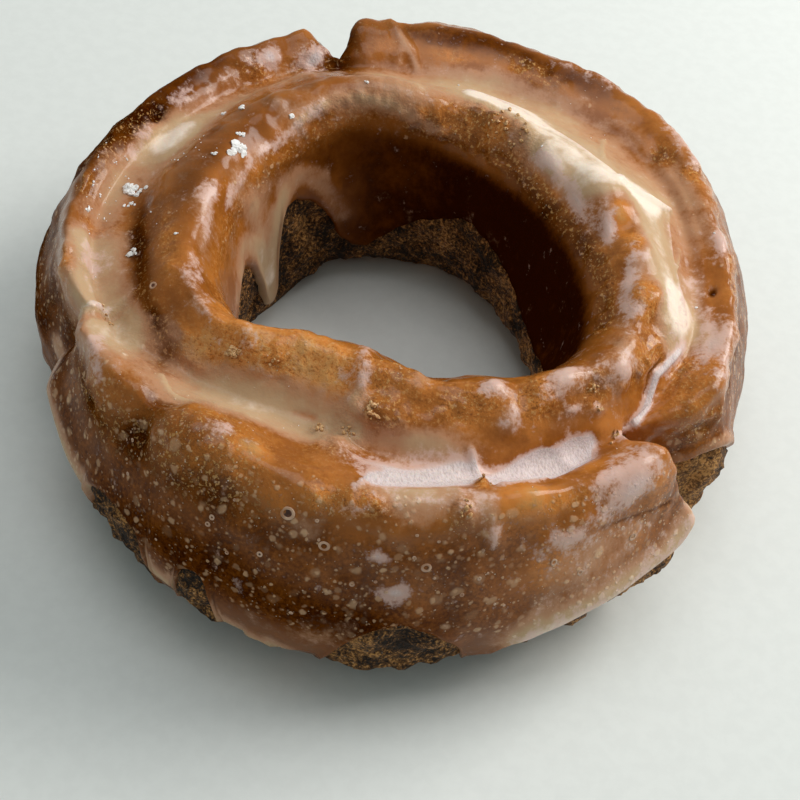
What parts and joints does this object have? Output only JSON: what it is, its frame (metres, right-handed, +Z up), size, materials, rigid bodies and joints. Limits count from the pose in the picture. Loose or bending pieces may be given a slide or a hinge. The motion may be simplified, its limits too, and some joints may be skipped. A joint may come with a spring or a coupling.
{
  "type": "old-fashioned doughnut",
  "caption": "Ring doughnut with a raised inner ridge, a deep crease and split outer petals, under a thin set glaze.",
  "frame": {"origin": "the middle of the bounding box at the flat underside, on the surface the doughnut rests on", "axes": "+Z up through the hole, +X to the right of the shown view, +Y away from it"},
  "size_m": [0.09, 0.095, 0.0309],
  "materials": {
    "crust": "matte",
    "glaze": "gloss",
    "sugar": "matte"
  },
  "bodies": {
    "root": {"doughnut": "crust"}
  },
  "joints": []
}
